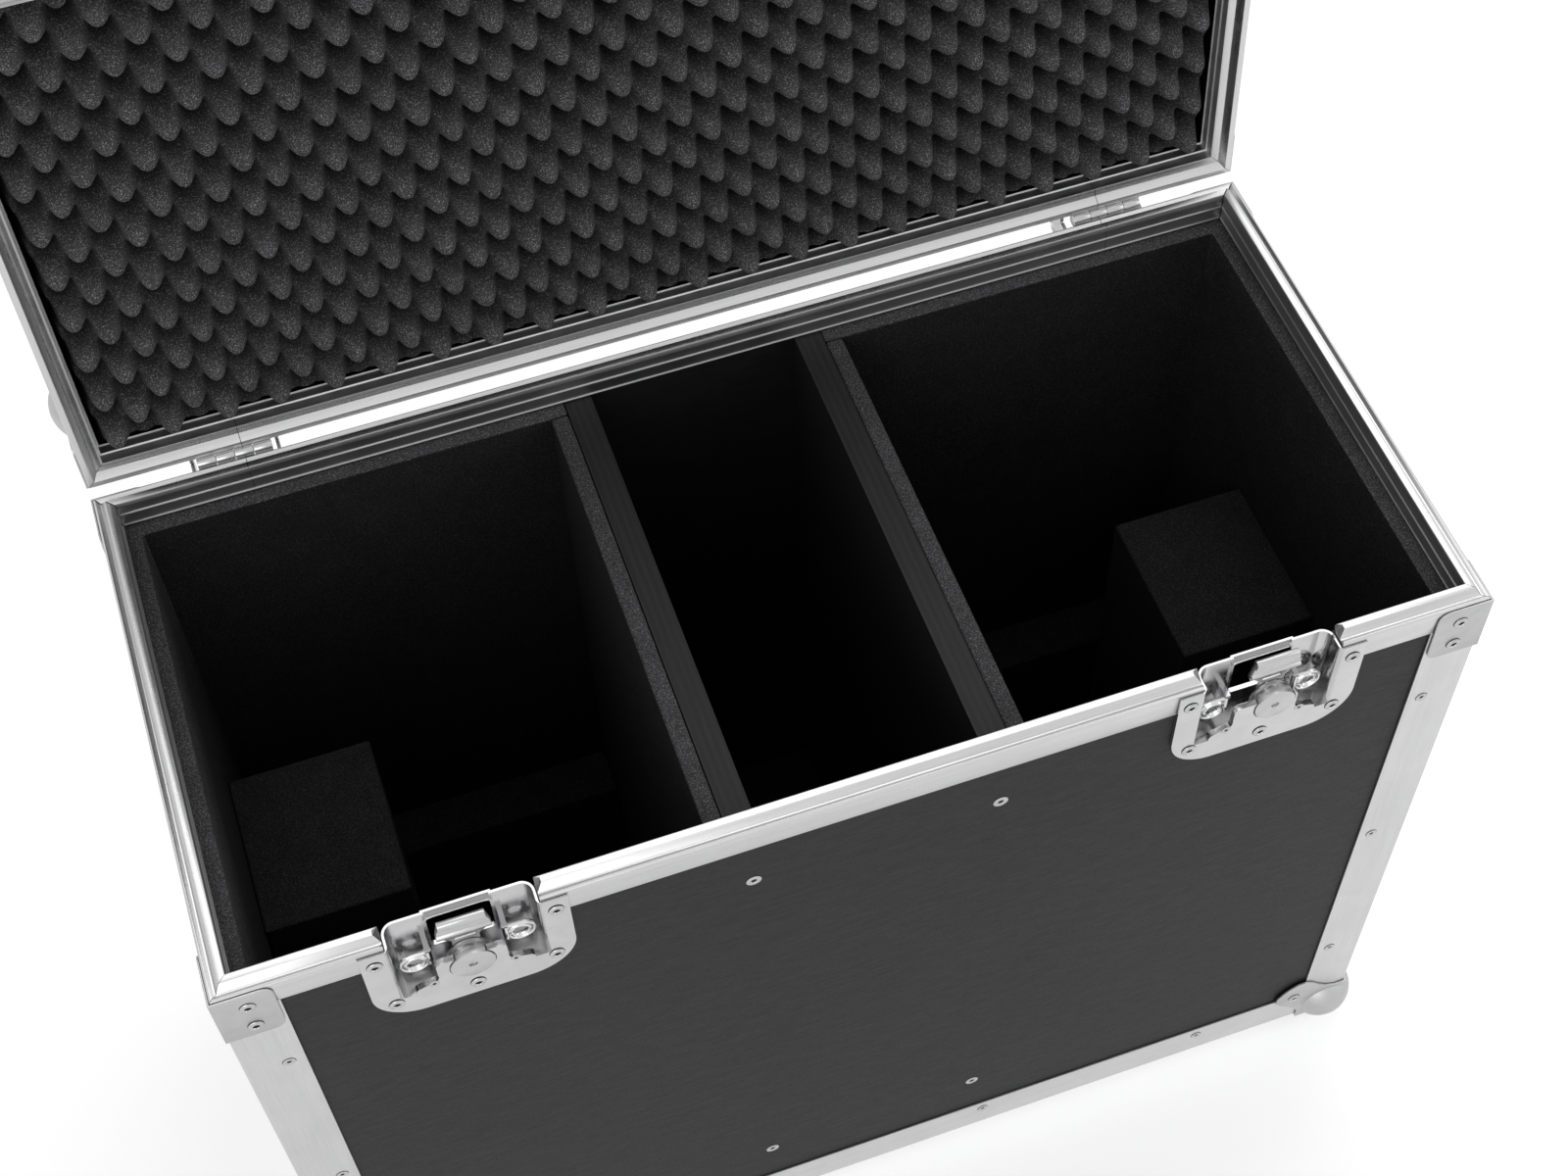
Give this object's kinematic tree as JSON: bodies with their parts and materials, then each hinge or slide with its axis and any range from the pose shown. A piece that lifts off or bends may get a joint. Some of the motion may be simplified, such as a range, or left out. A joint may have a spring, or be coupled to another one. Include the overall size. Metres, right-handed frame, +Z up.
{
  "type": "road case",
  "caption": "Road case with laminated panels, aluminium edges, ball corners, a hinged lid with convoluted foam, turn latches, end handles and padded bays.",
  "frame": {"origin": "on the floor, below the middle of the bounding box of the case with its lid open", "axes": "+X to the case's right as seen from the latch side, +Y towards the hinges, +Z up"},
  "size_m": [0.68, 0.4188, 0.8044],
  "materials": {
    "laminate": "matt dark laminate on plywood",
    "aluminium": "satin extrusion",
    "hinge_aluminium": "satin",
    "steel": "bright pressed sheet",
    "zinc": "plated",
    "plywood": "dark stained plywood",
    "foam": "open-cell foam",
    "black_steel": "satin black"
  },
  "bodies": {
    "base": {"bottom_panel": "laminate", "front_panel": "laminate", "back_panel": "laminate", "left_panel": "laminate", "right_panel": "laminate", "edge_front_left": "aluminium", "edge_front_right": "aluminium", "edge_back_left": "aluminium", "edge_back_right": "aluminium", "bottom_edge_frame": "aluminium", "rim_front": "aluminium", "rim_left": "aluminium", "rim_right": "aluminium", "rim_back": "aluminium", "hinge_leaf_left": "hinge_aluminium", "hinge_leaf_right": "hinge_aluminium", "brace_front_left": "steel", "brace_front_right": "steel", "brace_back_left": "steel", "brace_back_right": "steel", "ball_corner_front_left": "steel", "ball_corner_front_right": "steel", "ball_corner_back_left": "steel", "ball_corner_back_right": "steel", "latch_dish_left": "steel", "latch_dish_right": "steel", "handle_dish_left": "steel", "handle_dish_right": "steel", "divider_left": "plywood", "divider_right": "plywood", "divider_foam_left": "foam", "divider_foam_right": "foam", "lining_left": "foam", "lining_right": "foam", "foam_block_left": "foam", "foam_block_right": "foam", "foam_strip_left": "foam", "foam_strip_right": "foam"},
    "lid": {"lid_box": "laminate", "lid_edge_frame": "aluminium", "lid_rim": "aluminium", "lid_foam": "foam", "lid_corner_front_left": "steel", "lid_corner_front_right": "steel", "lid_corner_back_left": "steel", "lid_corner_back_right": "steel", "lid_leaf_left": "hinge_aluminium", "lid_leaf_right": "hinge_aluminium", "keeper_left": "steel", "keeper_right": "steel"},
    "hub_left": {"hub_left": "zinc"},
    "claw_left": {"claw_left": "zinc"},
    "bail_left": {"handle_bail_left": "black_steel"},
    "wing_left_outer": {"wing_left_outer": "steel"},
    "wing_left_inner": {"wing_left_inner": "steel"},
    "hub_right": {"hub_right": "zinc"},
    "claw_right": {"claw_right": "zinc"},
    "bail_right": {"handle_bail_right": "black_steel"},
    "wing_right_outer": {"wing_right_outer": "steel"},
    "wing_right_inner": {"wing_right_inner": "steel"}
  },
  "joints": [
    {"name": "lid_hinge", "type": "hinge", "parent": "base", "child": "lid", "pos_m": [0, 0.11202, 0.4883], "axis": [1, 0, 0], "range_deg": [0, 94.75]},
    {"name": "hub_turn_left", "type": "hinge", "parent": "base", "child": "hub_left", "pos_m": [-0.2095, -0.19313, 0.4483], "axis": [0, 1, 0], "range_deg": [0, 180]},
    {"name": "claw_draw_left", "type": "slide", "parent": "base", "child": "claw_left", "axis": [0, 0, 1], "range_m": [-0.008, 0]},
    {"name": "wing_fold_left_outer", "type": "hinge", "parent": "base", "child": "wing_left_outer", "pos_m": [-0.2287, -0.19243, 0.4508], "axis": [0, 0, 1], "range_deg": [0, 90]},
    {"name": "wing_fold_left_inner", "type": "hinge", "parent": "base", "child": "wing_left_inner", "pos_m": [-0.1903, -0.19243, 0.4508], "axis": [0, 0, -1], "range_deg": [0, 90]},
    {"name": "hub_turn_right", "type": "hinge", "parent": "base", "child": "hub_right", "pos_m": [0.2145, -0.19313, 0.4513], "axis": [0, 1, 0], "range_deg": [0, 180]},
    {"name": "claw_draw_right", "type": "slide", "parent": "base", "child": "claw_right", "axis": [0, 0, 1], "range_m": [-0.008, 0]},
    {"name": "wing_fold_right_outer", "type": "hinge", "parent": "base", "child": "wing_right_outer", "pos_m": [0.2287, -0.19243, 0.4508], "axis": [0, 0, -1], "range_deg": [0, 90]},
    {"name": "wing_fold_right_inner", "type": "hinge", "parent": "base", "child": "wing_right_inner", "pos_m": [0.1903, -0.19243, 0.4508], "axis": [0, 0, 1], "range_deg": [0, 90]},
    {"name": "bail_swing_left", "type": "hinge", "parent": "base", "child": "bail_left", "pos_m": [-0.3216, -0.04548, 0.3023], "axis": [0, 1, 0], "range_deg": [0, 90], "stiffness_Nm_per_rad": 0.08, "springref_deg": -34.38},
    {"name": "bail_swing_right", "type": "hinge", "parent": "base", "child": "bail_right", "pos_m": [0.3216, -0.04548, 0.3023], "axis": [0, -1, 0], "range_deg": [0, 90], "stiffness_Nm_per_rad": 0.08, "springref_deg": -34.38}
  ],
  "couplings": [
    {"joint": "hub_turn_left", "follows": "claw_draw_left", "rad_per_m": -392.7},
    {"joint": "hub_turn_right", "follows": "claw_draw_right", "rad_per_m": -392.7}
  ]
}
